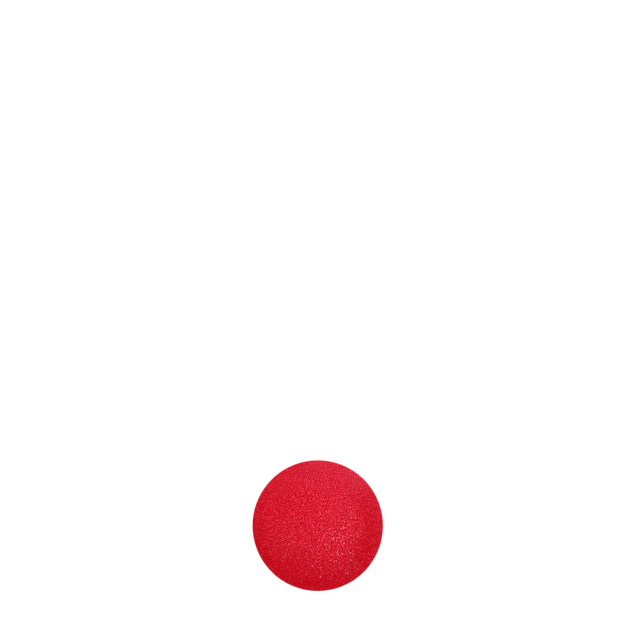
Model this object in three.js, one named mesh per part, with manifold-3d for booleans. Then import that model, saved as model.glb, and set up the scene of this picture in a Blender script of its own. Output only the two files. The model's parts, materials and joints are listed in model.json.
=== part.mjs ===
// A clown nose: one ball of open-cell sponge. A round pocket is punched into its back for the
// wearer's nose, and a slit across the pocket's mouth lets the foam spread over the nostrils.
//
// Millimetres, +Z up. The nose lies on its mouth, front upwards, as it rests on a table.
// The origin is the centre of the mouth, on the table; +Z leaves the front of the nose, and
// +Y is up as the nose is worn.

import * as THREE from "three";
import { mergeVertices } from "three/addons/utils/BufferGeometryUtils.js";
import Module from "manifold-3d";

// Driving dimensions
const BALL_DIAMETER = 50;
const MOUTH_DIAMETER = 24;
const LIP_RADIUS = 1.5; // rounding of the foam where the pocket meets the ball
const POCKET_DEPTH = 24; // from the plane of the mouth to the pocket's flat end
const POCKET_CORNER_RADIUS = 3; // rounding between the pocket's wall and its end
const SLIT_LENGTH = 38; // from end to end, straight across the back of the ball
const SLIT_HEIGHT = 15; // how far up the pocket's wall the slit runs
const SLIT_GAPE = 1.2; // width of the slit where it leaves the mouth
const SLIT_END_GAP = 0.4; // width of the slit where it runs out

// Colour and finish of the foam
const FOAM_COLOUR = "#d31d30";
const FOAM_ROUGHNESS = 0.75;

// Fineness of the facets
const TURN_STEPS = 72;
const BALL_STEPS = 30;
const LIP_STEPS = 6;
const CORNER_STEPS = 4;
const BLADE_STEPS = 64;

// Sizes that follow from them
const ballRadius = BALL_DIAMETER / 2;
const pocketRadius = MOUTH_DIAMETER / 2;
const lipCentre = new THREE.Vector2(pocketRadius + LIP_RADIUS, LIP_RADIUS);
// The lip is tangent to the ball from inside, so its centre lies on a circle about the ball's.
const ballCentreHeight = LIP_RADIUS + Math.sqrt((ballRadius - LIP_RADIUS) ** 2 - lipCentre.x ** 2);
const ballCentre = new THREE.Vector2(0, ballCentreHeight);
const lipMeetsBall = Math.atan2(lipCentre.y - ballCentre.y, lipCentre.x);

const wasm = await Module();
wasm.setup();

// Points of an arc, from one angle to another, with both ends.
function arcPoints(centre, radius, startAngle, endAngle, steps) {
  const points = [];
  for (let i = 0; i <= steps; i++) {
    const angle = THREE.MathUtils.lerp(startAngle, endAngle, i / steps);
    points.push(new THREE.Vector2(Math.cos(angle), Math.sin(angle)).multiplyScalar(radius).add(centre));
  }
  return points;
}

// Half of the ball's section, from the middle of the pocket's end, down its wall, round the lip
// and over the ball to its front. x is the distance from the axis and y the height.
function ballSection() {
  const cornerCentre = new THREE.Vector2(
    pocketRadius - POCKET_CORNER_RADIUS,
    POCKET_DEPTH - POCKET_CORNER_RADIUS,
  );
  const section = [
    new THREE.Vector2(0, POCKET_DEPTH),
    ...arcPoints(cornerCentre, POCKET_CORNER_RADIUS, Math.PI / 2, 0, CORNER_STEPS),
    ...arcPoints(lipCentre, LIP_RADIUS, Math.PI, 2 * Math.PI + lipMeetsBall, LIP_STEPS),
    ...arcPoints(ballCentre, ballRadius, lipMeetsBall, Math.PI / 2, BALL_STEPS).slice(1),
  ];
  section.at(-1).x = 0; // the front lies on the axis exactly
  return section;
}

// The round blade that cuts the slit. It is thickest at its middle, so the slit gapes at the
// mouth and closes towards its ends. Its edge passes through the slit's two ends on the ball
// and through the two tops of the slit on the pocket's wall.
function slitBlade() {
  const endOut = SLIT_LENGTH / 2;
  const endHeight = ballCentreHeight - Math.sqrt(ballRadius ** 2 - endOut ** 2);
  const centreHeight =
    (pocketRadius ** 2 + SLIT_HEIGHT ** 2 - endOut ** 2 - endHeight ** 2) / (2 * (SLIT_HEIGHT - endHeight));
  const radius = Math.hypot(endOut, endHeight - centreHeight);
  const mouthOut = Math.hypot(pocketRadius, centreHeight);
  const gapePerRadius = (SLIT_GAPE - SLIT_END_GAP) / (radius - mouthOut);
  const middleThickness = SLIT_END_GAP + gapePerRadius * radius;
  const section = [
    new THREE.Vector2(0, -middleThickness / 2),
    new THREE.Vector2(radius, -SLIT_END_GAP / 2),
    new THREE.Vector2(radius, SLIT_END_GAP / 2),
    new THREE.Vector2(0, middleThickness / 2),
  ];
  return new THREE.LatheGeometry(section, BLADE_STEPS)
    .rotateZ(Math.PI / 2)
    .translate(0, 0, centreHeight);
}

// A closed geometry as a solid that can be joined and cut.
function solidOf(geometry) {
  const bare = geometry.clone();
  bare.deleteAttribute("normal");
  bare.deleteAttribute("uv");
  const merged = mergeVertices(bare);
  return new wasm.Manifold(
    new wasm.Mesh({
      numProp: 3,
      vertProperties: merged.attributes.position.array,
      triVerts: new Uint32Array(merged.index.array),
    }),
  );
}

// A solid as a geometry again, with normals.
function geometryOf(solid) {
  const { vertProperties, triVerts } = solid.getMesh();
  const geometry = new THREE.BufferGeometry();
  geometry.setAttribute("position", new THREE.BufferAttribute(vertProperties, 3));
  geometry.setIndex(new THREE.BufferAttribute(triVerts, 1));
  geometry.computeVertexNormals();
  return geometry;
}

function foamBall() {
  const ball = new THREE.LatheGeometry(ballSection(), TURN_STEPS).rotateX(Math.PI / 2);
  const cutBall = solidOf(ball).subtract(solidOf(slitBlade()));
  const foam = new THREE.MeshStandardMaterial({
    color: FOAM_COLOUR,
    roughness: FOAM_ROUGHNESS,
    metalness: 0,
  });
  const mesh = new THREE.Mesh(geometryOf(cutBall), foam);
  mesh.name = "foam_ball";
  return mesh;
}

const clownNose = new THREE.Group();
clownNose.add(foamBall());

export default clownNose;
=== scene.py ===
"""A clown nose: the looks of one ball of red open-cell foam, in the part's own frame.

Metres, +Z up. The nose rests on its mouth with its front upwards, and the camera looks down on it.
The foam's skin is modelled cell by cell. Each cell is a small pit, cut from a few flat facets, and
neighbours share the rim between them, so the skin is one closed mesh: over the ball, round the lip
and into the pocket. A slit is then cut across the pocket's mouth.
"""

import json
import math

import bpy
import numpy as np
from mathutils import Matrix, Vector, geometry, kdtree

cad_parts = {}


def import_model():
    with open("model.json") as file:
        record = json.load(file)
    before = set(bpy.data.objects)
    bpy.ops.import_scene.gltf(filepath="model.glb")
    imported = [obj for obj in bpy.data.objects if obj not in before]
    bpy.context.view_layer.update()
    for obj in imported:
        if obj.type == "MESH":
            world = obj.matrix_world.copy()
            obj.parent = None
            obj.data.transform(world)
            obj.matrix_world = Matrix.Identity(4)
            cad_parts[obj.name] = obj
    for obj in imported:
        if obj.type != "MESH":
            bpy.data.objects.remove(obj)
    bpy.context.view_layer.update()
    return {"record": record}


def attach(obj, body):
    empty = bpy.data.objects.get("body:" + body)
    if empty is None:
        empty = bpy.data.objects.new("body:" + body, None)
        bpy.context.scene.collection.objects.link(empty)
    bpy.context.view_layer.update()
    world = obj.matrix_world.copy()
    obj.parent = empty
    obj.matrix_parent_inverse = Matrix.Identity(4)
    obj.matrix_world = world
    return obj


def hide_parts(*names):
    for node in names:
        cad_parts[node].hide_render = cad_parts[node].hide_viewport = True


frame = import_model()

SEED = 20
random = np.random.default_rng(SEED)

# Sizes of the nose, as in its solid
BALL_RADIUS = 0.025
POCKET_RADIUS = 0.012
POCKET_CORNER_RADIUS = 0.003
LIP_RADIUS = 0.0015
SLIT_LENGTH = 0.038
SLIT_HEIGHT = 0.015
pocket_depth = frame["record"]["mounts"][0]["pos_m"][2]

# Sizes that follow from them
lip_centre = (POCKET_RADIUS + LIP_RADIUS, LIP_RADIUS)
ball_height = LIP_RADIUS + math.sqrt((BALL_RADIUS - LIP_RADIUS) ** 2 - lip_centre[0] ** 2)
ball_centre = (0.0, ball_height)
lip_meets_ball = math.atan2(lip_centre[1] - ball_height, lip_centre[0])

WHITE = (1.0, 1.0, 1.0, 1.0)


# Helpers

def new_object(name, data):
    """A new object in the scene."""
    made = bpy.data.objects.new(name, data)
    bpy.context.scene.collection.objects.link(made)
    return made


def all_of(items, name, kind=float, width=1):
    """One property of every item, in one array."""
    values = np.empty(width * len(items), kind)
    items.foreach_get(name, values)
    return values.reshape(-1, width) if width > 1 else values


# The nose's section

SECTION_STEP = 0.00002


def line(start, end):
    """Points along a line, without its end."""
    steps = math.ceil(math.dist(start, end) / SECTION_STEP)
    return np.linspace(start, end, steps, endpoint=False)


def arc(centre, radius, start, end):
    """Points along an arc between two angles, without its end."""
    steps = math.ceil(abs(end - start) * radius / SECTION_STEP)
    angle = np.linspace(start, end, steps, endpoint=False)
    return np.array(centre) + radius * np.column_stack((np.cos(angle), np.sin(angle)))


class Section:
    """Half of the nose's section, from the middle of the pocket's end to the front of the ball."""

    def __init__(self):
        corner_centre = (POCKET_RADIUS - POCKET_CORNER_RADIUS, pocket_depth - POCKET_CORNER_RADIUS)
        stretches = (
            line((0.0, pocket_depth), (corner_centre[0], pocket_depth)),
            arc(corner_centre, POCKET_CORNER_RADIUS, math.pi / 2, 0.0),
            line((POCKET_RADIUS, corner_centre[1]), (POCKET_RADIUS, LIP_RADIUS)),
            arc(lip_centre, LIP_RADIUS, math.pi, 2 * math.pi + lip_meets_ball),
            arc(ball_centre, BALL_RADIUS, lip_meets_ball, math.pi / 2),
            np.array([[0.0, ball_height + BALL_RADIUS]]),
        )
        points = np.concatenate(stretches)
        self.out, self.up = points.T
        along = np.gradient(points, axis=0)
        along /= np.linalg.norm(along, axis=1)[:, None]
        self.normal_out, self.normal_up = along[:, 1], -along[:, 0]
        step = np.linalg.norm(np.diff(points, axis=0, prepend=points[:1]), axis=1)
        self.area = np.cumsum(2 * math.pi * self.out * step)
        # Radius in a flat map of the surface that keeps its angles, with the front at infinity
        self.flat = np.exp(np.cumsum(step / np.maximum(self.out, SECTION_STEP)))
        self.mouth = sum(len(s) for s in stretches[:3])
        self.equator = int(np.argmax(self.out))
        self.tree = kdtree.KDTree(len(points))
        for i, (x, z) in enumerate(points):
            self.tree.insert((x, z, 0.0), i)
        self.tree.balance()

    def nearest(self, points):
        """The section's place and the turn about the axis that are nearest to points in space."""
        out = np.hypot(points[:, 0], points[:, 1])
        place = [self.tree.find((x, z, 0.0))[1] for x, z in zip(out, points[:, 2])]
        return np.array(place), np.arctan2(points[:, 1], points[:, 0])

    def points(self, place, turn):
        """Points in space at places of the section that are turned about the axis."""
        out = self.out[place]
        return np.column_stack((out * np.cos(turn), out * np.sin(turn), self.up[place]))

    def normals(self, place, turn):
        """The smooth surface's normals at such points."""
        out = self.normal_out[place]
        return np.column_stack((out * np.cos(turn), out * np.sin(turn), self.normal_up[place]))


section = Section()


# The foam's cells

CELL_RADIUS = (0.00017, 0.00030)  # smallest and largest
CELL_GROWTH = 0.25  # how much larger they are on the side with the glints
CELL_TRIES = 420_000
FLAT_TOLERANCE = 1e-4  # in the flat map, which starts with a radius of about 1
NODE_SINK = 0.00003  # how far the rims' corners lie under the smooth surface
SPREAD_ROUNDS = 3  # rounds that make a random number unlike its neighbours'
PIT_DEPTH = (0.30, 1.05)  # in cell radii
PIT_DRIFT = 0.35  # most that a pit's bottom strays from its cell's middle, in cell radii


def cell_seeds():
    """Place, turn and radius of each cell's middle. The first is the front of the ball."""
    weight = np.gradient(section.area)
    place = random.choice(len(weight), CELL_TRIES, p=weight / weight.sum())
    place[0] = len(weight) - 1
    turn = random.uniform(-math.pi, math.pi, CELL_TRIES)
    radius = random.uniform(*CELL_RADIUS, CELL_TRIES)
    radius *= 1 + CELL_GROWTH * sparkle(section.normals(place, turn))
    points = section.points(place, turn)
    tree = kdtree.KDTree(CELL_TRIES)
    for i, point in enumerate(points):
        tree.insert(point, i)
    tree.balance()
    free = [True] * CELL_TRIES
    kept = []
    largest = radius.max()
    for i, point in enumerate(points):
        if not free[i]:
            continue
        kept.append(i)
        for _, j, distance in tree.find_range(point, radius[i] + largest):
            if distance < radius[i] + radius[j]:
                free[j] = False
    return place[kept], turn[kept], radius[kept]


def cell_triangles(place, turn):
    """The triangles that join the middles of neighbouring cells."""
    flat = section.flat[place[1:]]
    spots = [Vector(p) for p in zip(flat * np.cos(turn[1:]), flat * np.sin(turn[1:]))]
    _, _, faces, spots_of, _, _ = geometry.delaunay_2d_cdt(spots, [], [], 0, FLAT_TOLERANCE)
    seed_of = np.array([ids[0] for ids in spots_of]) + 1
    triangles = seed_of[np.array(faces)]
    # The front of the ball lies beyond the map's rim, and closes it.
    start = triangles.ravel()
    end = np.roll(triangles, -1, axis=1).ravel()
    rim = ~np.isin(start * len(place) + end, end * len(place) + start)
    cap = np.column_stack((end[rim], start[rim], np.zeros(rim.sum(), int)))
    return np.concatenate((triangles, cap))


def cell_means(of_nodes, triangles):
    """Each cell's mean of a number that its nodes have."""
    total = np.bincount(triangles.ravel(), np.repeat(of_nodes, 3))
    return total / np.bincount(triangles.ravel())


def node_means(of_cells, triangles):
    """Each node's mean of a number that its three cells have."""
    return of_cells[triangles].mean(axis=1)


def ranked(values):
    """Spreads numbers evenly from 0 to 1 and keeps their order."""
    return values.argsort().argsort() / (len(values) - 1)


def unlike_neighbours(chance, over, back, triangles):
    """Makes each random number unlike those next to it, by taking means over and back."""
    for _ in range(SPREAD_ROUNDS):
        chance = ranked(chance - back(over(chance, triangles), triangles))
    return chance


def pit_facets(node, middle, side, up, triangles):
    """A fan of facets round each pit, with the cell's nodes in order."""
    nodes, cells = len(node), len(middle)
    cell = triangles.ravel()
    at = np.repeat(np.arange(nodes), 3)
    reach = node[at] - middle[cell]
    bearing = np.arctan2((reach * up[cell]).sum(axis=1), (reach * side[cell]).sum(axis=1))
    order = np.lexsort((bearing, cell))
    cell, at = cell[order], at[order]
    first = np.searchsorted(cell, np.arange(cells))
    after = np.arange(1, len(cell) + 1)
    after[np.append(first[1:], len(cell)) - 1] = first
    return np.column_stack((at, at[after], nodes + cell))


def cell_mesh():
    """The whole skin of the foam, as a closed mesh with a pit for each cell."""
    place, turn, radius = cell_seeds()
    triangles = cell_triangles(place, turn)
    middle = section.points(place, turn)
    normal = section.normals(place, turn)
    side = np.column_stack((-np.sin(turn), np.cos(turn), np.zeros(len(place))))
    up = np.cross(normal, side)
    cells = len(place)

    # Nodes: a corner of the rims between each three neighbours, nearer to the smaller cells
    pull = 1 / radius[triangles]
    pull /= pull.sum(axis=1)[:, None]
    node_place, node_turn = section.nearest((middle[triangles] * pull[:, :, None]).sum(axis=1))
    nodes = len(node_place)
    sink = np.abs(random.normal(0.0, NODE_SINK, nodes))
    node = section.points(node_place, node_turn)
    node_normal = section.normals(node_place, node_turn)
    chance = unlike_neighbours(random.random(nodes), cell_means, node_means, triangles)
    body = np.concatenate((body_colours(node, node_normal), body_colours(middle, normal)))
    ridge = body.copy()
    body[:nodes], ridge[:nodes] = node_colours(body[:nodes], node, node_normal, chance)
    node -= node_normal * sink[:, None]

    # Pits
    chance = unlike_neighbours(random.random(cells), node_means, cell_means, triangles)
    depth = PIT_DEPTH[0] + (PIT_DEPTH[1] - PIT_DEPTH[0]) * chance
    drift = random.uniform(-PIT_DRIFT, PIT_DRIFT, (cells, 2))
    bottom = middle - normal * (depth * radius)[:, None]
    bottom += (side * drift[:, :1] + up * drift[:, 1:]) * radius[:, None]

    facets = pit_facets(node, middle, side, up, triangles)
    mesh = bpy.data.meshes.new("foam_ball_skin")
    mesh.from_pydata(np.concatenate((node, bottom)).tolist(), [], facets.tolist())

    # What the material reads
    pit = np.concatenate((np.zeros(nodes), depth / PIT_DEPTH[1]))
    mesh.attributes.new("pit", "FLOAT", "POINT").data.foreach_set("value", pit)
    for name, colours in (("body", body), ("ridge", ridge)):
        mesh.attributes.new(name, "FLOAT_VECTOR", "POINT").data.foreach_set("vector", colours.ravel())
    return mesh


# The colours of the foam and of the ridges between its cells, with painted sheen, shade, highlights
# and glints

DEEP_COLOUR = np.array((0.56, 0.0020, 0.0075))
# The paler red below is a painted sheen: a broad highlight spread over the side towards the light.
PAINTED_SHEEN_COLOUR = np.array((0.56, 0.0062, 0.0255))
# Bright red walls: partly lighter at random, partly painted highlight on the glint side.
BRIGHT_AND_HIGHLIGHT_COLOUR = np.array((1.00, 0.012, 0.040))
# Pale pink ridges: partly lighter struts, partly painted highlight.
PALE_AND_HIGHLIGHT_COLOUR = np.array((1.00, 0.205, 0.265))
GLINT_COLOUR = np.array((1.00, 0.540, 0.560))
# A darker brownish red, for one darker spot and for painted shade on the right.
DARK_SPOT_AND_SHADE_COLOUR = np.array((0.31, 0.0103, 0.0155))
PAINTED_SHEEN_SIDE = np.array((0.275, 0.478, 0.835))  # the side towards the light, where a broad painted sheen makes the foam paler
PAINTED_SHEEN = (0.25, 0.84)  # painted sheen a quarter turn from that side, and what is added on it
PAINTED_SHEEN_LIMITS = (0.2, 1.8)
WALL_RARITY = 3.0  # a higher power leaves fewer bright walls, partly lighter at random and partly painted highlight
PALE_AND_HIGHLIGHT_RARITY = 3.7  # and fewer pale ridges, partly lighter struts and partly painted highlight
GLINT_SIDE = np.array((0.38, -0.34, 0.860))  # the side where the brightest walls and the most glints are painted, as highlights
GLINT_FALL = 8  # a higher power keeps them closer to that side
GLINT_RANGE = (0.3, 1.0)  # weakest and strongest
# Away from that side, and what is added on it as painted highlight
WALL_AND_HIGHLIGHT_STRENGTH = (0.80, 0.70)
PALE_AND_HIGHLIGHT_SHARE = (0.80, 0.40)
GLINT_SHARE = (0.001, 0.068)
SHEEN_AND_SHADE_SPOTS = (  # painted shade where the change is below 0 and painted sheen where it is above: turn in degrees, share of the ball's radius from its axis, size, change
    (26.0, 0.78, 0.0055, -0.35),
    (3.0, 0.76, 0.0060, -0.40),
    (340.0, 0.80, 0.0060, -0.40),
    (325.0, 0.72, 0.0050, -0.25),
    (110.0, 0.28, 0.0110, -0.22),
    (265.0, 0.78, 0.0100, -0.12),
    (140.0, 0.56, 0.0080, -0.27),
    (184.0, 0.44, 0.0060, 0.18),
    (55.0, 0.96, 0.0060, 0.80),
    (85.0, 0.98, 0.0050, 0.70),
)
DARK_SPOT_AND_SHADE = (  # a darker spot near the lower-left edge, then painted shade in a band down the right: turn in degrees, share of the ball's radius from its axis, size, strength
    (243.0, 0.93, 0.0020, 0.45),
    (320.0, 0.76, 0.0038, 0.30),
    (342.0, 0.77, 0.0042, 0.17),
    (5.0, 0.75, 0.0040, 0.14),
    (24.0, 0.77, 0.0038, 0.11),
)


def nearness(points, turn, out, size):
    """1 at a spot on the ball, and less with the distance from it."""
    bearing = math.radians(turn)
    spot = np.array((out * math.cos(bearing), out * math.sin(bearing), math.sqrt(1 - out**2)))
    spot = BALL_RADIUS * spot + np.array((0.0, 0.0, ball_height))
    return np.exp(-((np.linalg.norm(points - spot, axis=1) / size) ** 2))


def sparkle(normals):
    """1 on the side with the glints, and less away from it."""
    return np.clip(normals @ GLINT_SIDE, 0.0, 1.0) ** GLINT_FALL


def painted_sheen(points, normals):
    """How much sheen is painted: 0 for the foam's deep red, and 1 for the paler red of the painted
    sheen.
    """
    amount = PAINTED_SHEEN[0] + PAINTED_SHEEN[1] * (normals @ PAINTED_SHEEN_SIDE)
    for turn, out, size, change in SHEEN_AND_SHADE_SPOTS:
        amount += change * nearness(points, turn, out, size)
    return np.clip(amount, *PAINTED_SHEEN_LIMITS)


def body_colours(points, normals):
    """Red, made paler by a broad painted sheen towards one side, with painted shade in a band on the
    right and a darker spot near the lower-left edge.
    """
    colour = DEEP_COLOUR + painted_sheen(points, normals)[:, None] * (PAINTED_SHEEN_COLOUR - DEEP_COLOUR)
    for turn, out, size, strength in DARK_SPOT_AND_SHADE:
        colour += strength * nearness(points, turn, out, size)[:, None] * (DARK_SPOT_AND_SHADE_COLOUR - colour)
    return colour


def node_colours(body, points, normals, chance):
    """The walls and the ridges at each node: the foam's own red, some walls brighter and some ridges
    paler, partly at random and partly as painted highlight crowded on the sheen and glint sides, and a
    few ridges with a painted glint.
    """
    side = sparkle(normals)
    sheen = painted_sheen(points, normals)
    bright_and_highlight = np.minimum(chance**WALL_RARITY * (WALL_AND_HIGHLIGHT_STRENGTH[0] + WALL_AND_HIGHLIGHT_STRENGTH[1] * side), 1.0)
    pale_and_highlight = chance ** (PALE_AND_HIGHLIGHT_RARITY / (sheen * (PALE_AND_HIGHLIGHT_SHARE[0] + PALE_AND_HIGHLIGHT_SHARE[1] * side)))
    wall = body + bright_and_highlight[:, None] * (BRIGHT_AND_HIGHLIGHT_COLOUR - body)
    ridge = body + pale_and_highlight[:, None] * (PALE_AND_HIGHLIGHT_COLOUR - body)
    glint = chance > 1 - sheen * (GLINT_SHARE[0] + GLINT_SHARE[1] * side)
    ridge[glint] += random.uniform(*GLINT_RANGE, (glint.sum(), 1)) * (GLINT_COLOUR - ridge[glint])
    return wall, ridge


# The slit

SLIT_GAPE = 0.0009  # a little less than in the solid, because soft foam closes up
SLIT_END_GAP = 0.00006  # nearly closed where it runs out
SLIT_TURN = math.radians(1.2)  # cut by hand, so not quite straight across
SLIT_SIDES = 96
SLIT_SHADE = 0.25  # its walls take painted shade, as dark as the foam at this share of the deepest pit


def slit_blade():
    """The round blade that cuts the slit. It is thickest in the middle, so the mouth gapes."""
    end_out = SLIT_LENGTH / 2
    end_height = ball_height - math.sqrt(BALL_RADIUS**2 - end_out**2)
    rise = POCKET_RADIUS**2 + SLIT_HEIGHT**2 - end_out**2 - end_height**2
    centre_height = rise / (2 * (SLIT_HEIGHT - end_height))
    blade_radius = math.hypot(end_out, end_height - centre_height)
    mouth_out = math.hypot(POCKET_RADIUS, centre_height)
    gape_for_radius = (SLIT_GAPE - SLIT_END_GAP) / (blade_radius - mouth_out)
    middle_thickness = SLIT_END_GAP + gape_for_radius * blade_radius
    points = [(side * middle_thickness / 2, 0.0, centre_height) for side in (-1, 1)]
    for i in range(SLIT_SIDES):
        angle = 2 * math.pi * i / SLIT_SIDES
        y = blade_radius * math.cos(angle)
        z = centre_height + blade_radius * math.sin(angle)
        points += [(side * SLIT_END_GAP / 2, y, z) for side in (-1, 1)]
    faces = []
    for i in range(SLIT_SIDES):
        left, right = 2 + 2 * i, 3 + 2 * i
        next_left, next_right = 2 + 2 * ((i + 1) % SLIT_SIDES), 3 + 2 * ((i + 1) % SLIT_SIDES)
        faces += [(0, next_left, left), (1, right, next_right), (left, next_left, next_right, right)]
    mesh = bpy.data.meshes.new("slit_blade")
    mesh.from_pydata(points, [], faces)
    mesh.transform(Matrix.Rotation(SLIT_TURN, 4, "Z"))
    mesh.attributes.new("cut", "FLOAT", "FACE").data.foreach_set("value", np.ones(len(faces)))
    return mesh


def paint_slit(mesh):
    """Gives the slit's points, which come out of the cut without a colour, the foam's deep red with
    painted shade as in a pit.
    """
    pit, body, ridge = (mesh.attributes[name].data for name in ("pit", "body", "ridge"))
    colours = all_of(body, "vector", width=3)
    for i in np.flatnonzero(~colours.any(axis=1)):
        pit[i].value = SLIT_SHADE
        body[i].vector = DEEP_COLOUR
        ridge[i].vector = DEEP_COLOUR


# The flat map of the skin

MAP_FRONT = (0.293, 0.293, 0.280)  # middle and radius of the disc that holds the front half
MAP_BACK = (0.707, 0.707, 0.280)  # the ring that holds the back half
MAP_BACK_HOLE = 0.45  # share of the ring's radius that is empty
MAP_POCKET = (0.800, 0.200, 0.180)
MAP_DISCS = 3  # these round charts come first, and the slit's two follow
MAP_SLIT_MIDDLES = ((0.205, 0.700), (0.205, 0.880))  # of the slit's two walls
MAP_SLIT_SCALE = 9.0  # share of the map for a metre


def flat_charts(points):
    """Where each point would lie in the pocket's chart, the back's, the front's and the slit's two."""
    place, turn = section.nearest(points)
    area = section.area[place]
    mouth, equator, whole = section.area[[section.mouth, section.equator, -1]]
    back_share = np.clip((equator - area) / (equator - mouth), None, 1.0)
    discs = (  # where, how far out, and which way round
        (MAP_POCKET, np.sqrt(area / mouth), -1),
        (MAP_BACK, np.sqrt(1 - back_share * (1 - MAP_BACK_HOLE**2)), -1),
        (MAP_FRONT, np.sqrt((whole - area) / (whole - equator)), 1),
    )
    charts = []
    for (x, y, radius), out, way in discs:
        direction = np.column_stack((np.cos(turn), way * np.sin(turn)))
        charts.append(direction * (radius * out)[:, None] + (x, y))
    for middle, way in zip(MAP_SLIT_MIDDLES, (1, -1)):
        wall = np.column_stack((way * points[:, 1], points[:, 2] - SLIT_HEIGHT / 2))
        charts.append(wall * MAP_SLIT_SCALE + middle)
    return np.array(charts)


def unwrap(mesh):
    """Lays the skin out flat, each face in the chart that it belongs to."""
    charts = flat_charts(all_of(mesh.vertices, "co", width=3))
    face_place, _ = section.nearest(all_of(mesh.polygons, "center", width=3))
    round_chart = (face_place >= section.mouth).astype(int) + (face_place >= section.equator)
    slit_chart = MAP_DISCS + (all_of(mesh.polygons, "normal", width=3)[:, 0] < 0)
    is_slit = all_of(mesh.attributes["cut"].data, "value") > 0.5
    chart = np.where(is_slit, slit_chart, round_chart)
    corner_chart = np.repeat(chart, all_of(mesh.polygons, "loop_total", int))
    spots = charts[corner_chart, all_of(mesh.loops, "vertex_index", int)]
    mesh.uv_layers.new(name="OFBake").data.foreach_set("uv", spots.ravel())


def foam_ball():
    """The whole nose, with its slit, its flat map and its material."""
    ball = new_object("foam_ball_looks", cell_mesh())
    blade = new_object("slit_blade", slit_blade())
    cut = ball.modifiers.new("slit", "BOOLEAN")
    cut.object = blade
    cut.operation = "DIFFERENCE"
    cut.solver = "MANIFOLD"
    depsgraph = bpy.context.evaluated_depsgraph_get()
    ball.data = bpy.data.meshes.new_from_object(ball.evaluated_get(depsgraph))
    ball.modifiers.clear()
    bpy.data.objects.remove(blade)
    paint_slit(ball.data)
    unwrap(ball.data)
    ball.data.materials.clear()
    ball.data.materials.append(foam_material())
    return ball


# The foam's material

# The pits' bottoms are painted dark red, as shade.
PIT_SHADE_COLOUR = (0.29, 0.0003, 0.0052, 1.0)
RIDGE = (0.0, 0.18)  # share of the deepest pit, where a ridge's colour ends
SHADE = (0.08, 0.50)  # and where the painted shade in the pit begins and is full
FOAM_ROUGHNESS = 0.8
GRAIN_SCALE = 4000.0  # this and the next three are for the fine roughness on every facet
GRAIN_DETAIL = 3.0
GRAIN_STRENGTH = 0.5
GRAIN_HEIGHT = 0.0001


def foam_material():
    """Dull foam, coloured by the depth in its pits, with painted shade deepening towards their
    bottoms, and a fine roughness on every facet.
    """
    material = bpy.data.materials.new("red_foam")
    material.use_nodes = True
    nodes, links = material.node_tree.nodes, material.node_tree.links
    shader = nodes["Principled BSDF"]
    shader.inputs["Roughness"].default_value = FOAM_ROUGHNESS
    shader.inputs["Specular IOR Level"].default_value = 0.0

    def read(name):
        """What the mesh holds under a name."""
        node = nodes.new("ShaderNodeAttribute")
        node.attribute_name = name
        return node.outputs

    def mixed(first, second, low, high):
        """One colour that turns into another between two depths of a pit."""
        ramp = nodes.new("ShaderNodeMapRange")
        ramp.interpolation_type = "SMOOTHSTEP"
        ramp.inputs["From Min"].default_value = low
        ramp.inputs["From Max"].default_value = high
        mix = nodes.new("ShaderNodeMix")
        mix.data_type = "RGBA"
        links.new(read("pit")["Fac"], ramp.inputs["Value"])
        links.new(ramp.outputs["Result"], mix.inputs["Factor"])
        links.new(first, mix.inputs["A"])
        if isinstance(second, tuple):
            mix.inputs["B"].default_value = second
        else:
            links.new(second, mix.inputs["B"])
        return mix.outputs["Result"]

    walls = mixed(read("ridge")["Color"], read("body")["Color"], *RIDGE)
    links.new(mixed(walls, PIT_SHADE_COLOUR, *SHADE), shader.inputs["Base Color"])

    grain = nodes.new("ShaderNodeTexNoise")
    grain.inputs["Scale"].default_value = GRAIN_SCALE
    grain.inputs["Detail"].default_value = GRAIN_DETAIL
    links.new(nodes.new("ShaderNodeTexCoord").outputs["Object"], grain.inputs["Vector"])
    bump = nodes.new("ShaderNodeBump")
    bump.inputs["Strength"].default_value = GRAIN_STRENGTH
    bump.inputs["Distance"].default_value = GRAIN_HEIGHT
    links.new(grain.outputs["Fac"], bump.inputs["Height"])
    links.new(bump.outputs["Normal"], shader.inputs["Normal"])
    return material


# The stage and the light

FLOOR_SIDE = 8.0
FLOOR_COLOUR = (0.5, 0.5, 0.5, 1.0)
FLOOR_ROUGHNESS = 0.9
FLOOR_GLOW = 0.7  # what the camera sees, so that the floor is white
FLOOR_FILL = 0.25  # what falls on the nose
FLOOR_SHADE = (0.014, 0.024)  # distances from the nose's axis where the glow begins and is full
WORLD_SEEN = 1.2  # what the camera sees
WORLD_LIGHT = 1.165  # what falls on the nose
KEY_PLACE = (0.06, 0.62, 0.78)
KEY_SIDE = 0.5
KEY_POWER = 2.8


def camera_only(nodes, links, seen, unseen):
    """A strength with one value for the camera and another for the light that falls on the nose."""
    turn = nodes.new("ShaderNodeMapRange")
    turn.inputs["To Min"].default_value = unseen
    turn.inputs["To Max"].default_value = seen
    links.new(nodes.new("ShaderNodeLightPath").outputs["Is Camera Ray"], turn.inputs["Value"])
    return turn.outputs["Result"]


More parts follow.
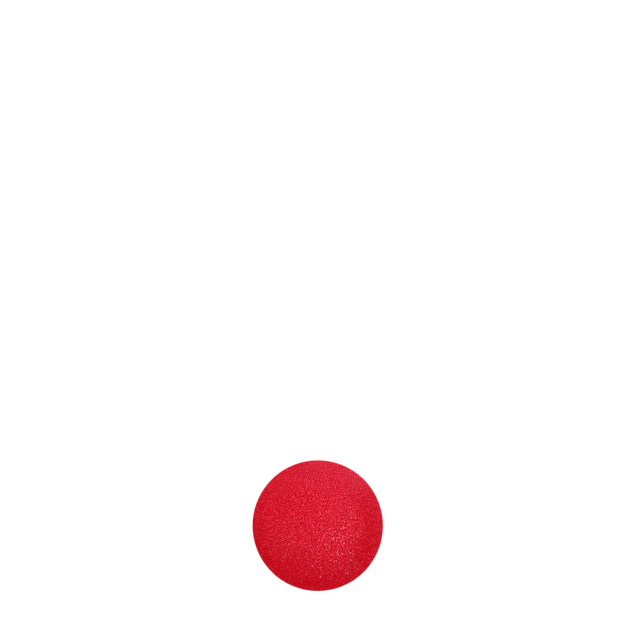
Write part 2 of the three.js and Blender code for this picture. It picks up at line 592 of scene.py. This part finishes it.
def floor():
    """A plain white floor, with a soft shade at the foot of the nose."""
    mesh = bpy.data.meshes.new("floor")
    half = FLOOR_SIDE / 2
    corners = [(-half, -half, 0), (half, -half, 0), (half, half, 0), (-half, half, 0)]
    mesh.from_pydata(corners, [], [(0, 1, 2, 3)])
    made = new_object("floor", mesh)
    material = bpy.data.materials.new("white_floor")
    material.use_nodes = True
    nodes, links = material.node_tree.nodes, material.node_tree.links
    shader = nodes["Principled BSDF"]
    shader.inputs["Base Color"].default_value = FLOOR_COLOUR
    shader.inputs["Roughness"].default_value = FLOOR_ROUGHNESS
    shader.inputs["Specular IOR Level"].default_value = 0.0
    shader.inputs["Emission Color"].default_value = WHITE
    distance = nodes.new("ShaderNodeVectorMath")
    distance.operation = "LENGTH"
    links.new(nodes.new("ShaderNodeTexCoord").outputs["Object"], distance.inputs[0])
    glow = nodes.new("ShaderNodeMapRange")
    glow.interpolation_type = "SMOOTHSTEP"
    glow.inputs["From Min"].default_value, glow.inputs["From Max"].default_value = FLOOR_SHADE
    links.new(distance.outputs["Value"], glow.inputs["Value"])
    links.new(camera_only(nodes, links, FLOOR_GLOW, FLOOR_FILL), glow.inputs["To Max"])
    links.new(glow.outputs["Result"], shader.inputs["Emission Strength"])
    mesh.materials.append(material)


def world():
    """Even white light from all round."""
    made = bpy.data.worlds.new("studio")
    made.use_nodes = True
    nodes, links = made.node_tree.nodes, made.node_tree.links
    background = nodes["Background"]
    background.inputs["Color"].default_value = WHITE
    links.new(camera_only(nodes, links, WORLD_SEEN, WORLD_LIGHT), background.inputs["Strength"])
    bpy.context.scene.world = made


def key_light():
    """A large soft light, above and beyond the top of the nose."""
    light = bpy.data.lights.new("key", "AREA")
    light.size = KEY_SIDE
    light.energy = KEY_POWER
    made = new_object("key", light)
    made.location = KEY_PLACE
    aim = Vector((0.0, 0.0, ball_height)) - Vector(KEY_PLACE)
    made.rotation_euler = aim.to_track_quat("-Z", "Y").to_euler()


# The camera

PHOTO_SIDE = 640  # this and the nose's place in the photograph are in pixels
NOSE_CENTRE = (317.75, 525.6)
NOSE_RADIUS = 65.45
LENS = 200.0  # this and the sensor's width are in millimetres
SENSOR = 36.0


def camera():
    """Looks straight down, so that the nose lies in the frame where it does in the photograph."""
    metres_per_pixel = BALL_RADIUS / NOSE_RADIUS
    distance = metres_per_pixel * PHOTO_SIDE * LENS / SENSOR
    data = bpy.data.cameras.new("camera")
    data.lens = LENS
    data.sensor_width = SENSOR
    made = new_object("camera", data)
    made.location = (
        (PHOTO_SIDE / 2 - NOSE_CENTRE[0]) * metres_per_pixel,
        (NOSE_CENTRE[1] - PHOTO_SIDE / 2) * metres_per_pixel,
        ball_height + distance,
    )
    bpy.context.scene.camera = made


ball = foam_ball()
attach(ball, "root")
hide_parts("foam_ball")

floor()
world()
key_light()
camera()
bpy.context.scene.view_settings.view_transform = "Standard"
